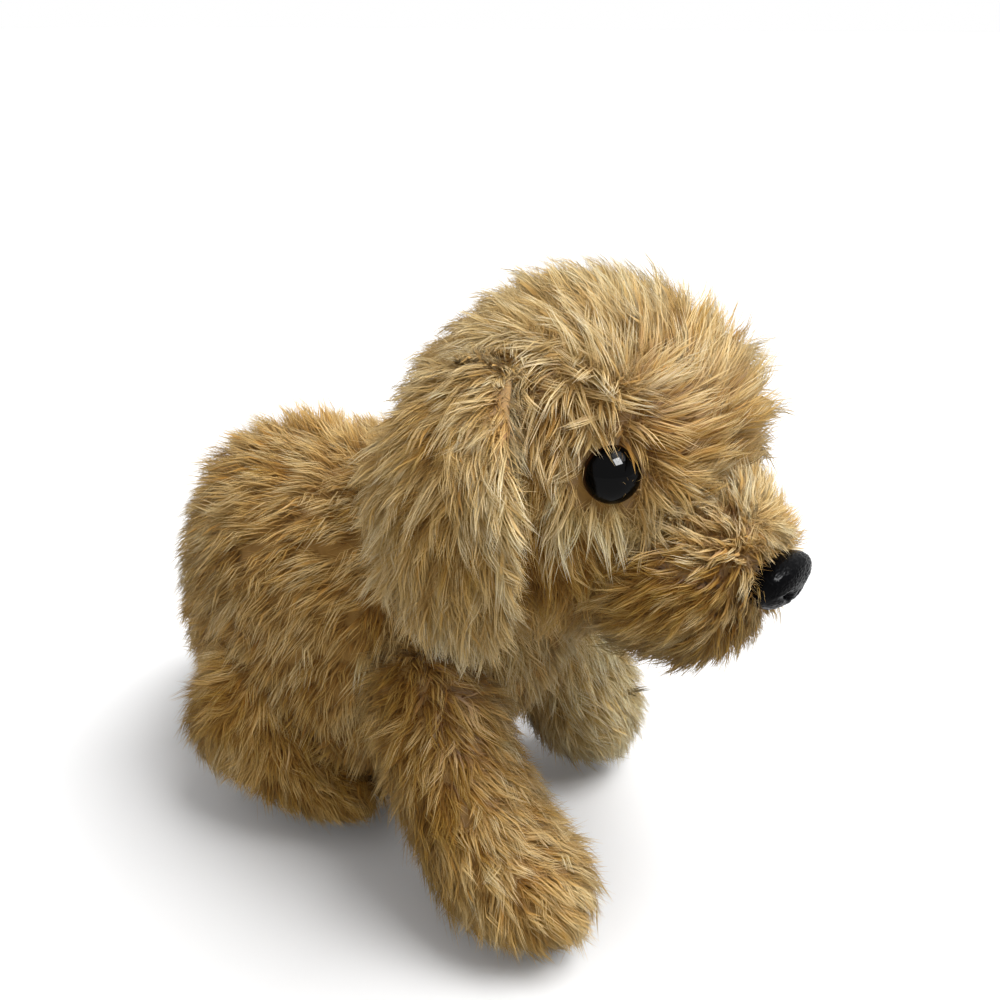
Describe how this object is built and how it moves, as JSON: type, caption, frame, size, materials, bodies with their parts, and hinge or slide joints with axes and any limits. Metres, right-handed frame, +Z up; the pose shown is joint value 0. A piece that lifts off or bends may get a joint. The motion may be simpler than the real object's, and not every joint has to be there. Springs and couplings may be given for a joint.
{
  "type": "plush dog",
  "caption": "Small sitting plush puppy in long golden pile, with hanging ears, domed black eyes, a moulded black nose and soft jointed head, legs, ears and tail",
  "frame": {"origin": "Middle of the flat under the seat, on the floor", "axes": "+X is where the dog looks, +Y is its left side, +Z is up"},
  "size_m": [0.2519, 0.1448, 0.1923],
  "materials": {
    "golden_plush": "matte",
    "cream_plush": "matte",
    "polyester_fibre": "matte",
    "bag_cloth": "matte",
    "black_eye_plastic": "gloss",
    "black_nose_plastic": "satin",
    "white_washer_plastic": "matte"
  },
  "bodies": {
    "torso": {"torso_left_panel": "golden_plush", "torso_right_panel": "golden_plush", "belly_panel": "cream_plush", "torso_stuffing": "polyester_fibre", "pellet_bag": "bag_cloth"},
    "neck": {"neck_stuffing": "polyester_fibre"},
    "head": {"head_left_panel": "golden_plush", "head_right_panel": "golden_plush", "forehead_gusset": "cream_plush", "throat_panel": "cream_plush", "head_stuffing": "polyester_fibre", "muzzle_panel": "cream_plush", "muzzle_stuffing": "polyester_fibre", "left_eye": "black_eye_plastic", "left_eye_washer": "white_washer_plastic", "right_eye": "black_eye_plastic", "right_eye_washer": "white_washer_plastic", "nose": "black_nose_plastic", "nose_washer": "white_washer_plastic"},
    "left_ear": {"left_ear_outer": "golden_plush", "left_ear_lining": "cream_plush"},
    "right_ear": {"right_ear_outer": "golden_plush", "right_ear_lining": "cream_plush"},
    "left_front_leg": {"left_front_leg_outer": "golden_plush", "left_front_leg_inner": "golden_plush", "left_front_leg_stuffing": "polyester_fibre"},
    "right_front_leg": {"right_front_leg_outer": "golden_plush", "right_front_leg_inner": "golden_plush", "right_front_leg_stuffing": "polyester_fibre"},
    "left_hind_leg": {"left_hind_leg_outer": "golden_plush", "left_hind_leg_inner": "golden_plush", "left_hind_leg_stuffing": "polyester_fibre"},
    "right_hind_leg": {"right_hind_leg_outer": "golden_plush", "right_hind_leg_inner": "golden_plush", "right_hind_leg_stuffing": "polyester_fibre"},
    "tail": {"tail_cover": "golden_plush", "tail_stuffing": "polyester_fibre"}
  },
  "joints": [
    {"name": "head_turn", "type": "hinge", "parent": "torso", "child": "neck", "pos_m": [0.03969, 0, 0.0819], "axis": [0.5, 0, 0.866], "range_deg": [-20, 20], "stiffness_Nm_per_rad": 1.5},
    {"name": "head_nod", "type": "hinge", "parent": "neck", "child": "head", "pos_m": [0.03969, 0, 0.0819], "axis": [0.0905, 0.9945, -0.0523], "range_deg": [-5, 14], "stiffness_Nm_per_rad": 2},
    {"name": "left_ear_lift", "type": "hinge", "parent": "head", "child": "left_ear", "pos_m": [0.09284, 0.04398, 0.16789], "axis": [0.9959, -0.0905, 0.0024], "range_deg": [0, 60]},
    {"name": "right_ear_lift", "type": "hinge", "parent": "head", "child": "right_ear", "pos_m": [0.08486, -0.04365, 0.17249], "axis": [-0.9959, 0.0905, -0.0024], "range_deg": [0, 60]},
    {"name": "left_front_leg_swing", "type": "hinge", "parent": "torso", "child": "left_front_leg", "pos_m": [0.05219, 0.03392, 0.086], "axis": [0, 1, 0], "range_deg": [-10, 10], "stiffness_Nm_per_rad": 1.5},
    {"name": "right_front_leg_swing", "type": "hinge", "parent": "torso", "child": "right_front_leg", "pos_m": [0.05219, -0.03392, 0.086], "axis": [0, 1, 0], "range_deg": [-10, 10], "stiffness_Nm_per_rad": 1.5},
    {"name": "left_hind_leg_swing", "type": "hinge", "parent": "torso", "child": "left_hind_leg", "pos_m": [-0.0294, 0.03498, 0.054], "axis": [0, 1, 0], "range_deg": [-8, 8], "stiffness_Nm_per_rad": 0.3},
    {"name": "right_hind_leg_swing", "type": "hinge", "parent": "torso", "child": "right_hind_leg", "pos_m": [-0.0294, -0.03498, 0.054], "axis": [0, 1, 0], "range_deg": [-8, 8], "stiffness_Nm_per_rad": 0.3},
    {"name": "tail_wag", "type": "hinge", "parent": "torso", "child": "tail", "pos_m": [-0.0441, 0.0035, 0.0507], "axis": [0, 0, 1], "range_deg": [-10, 10], "stiffness_Nm_per_rad": 0.1}
  ]
}
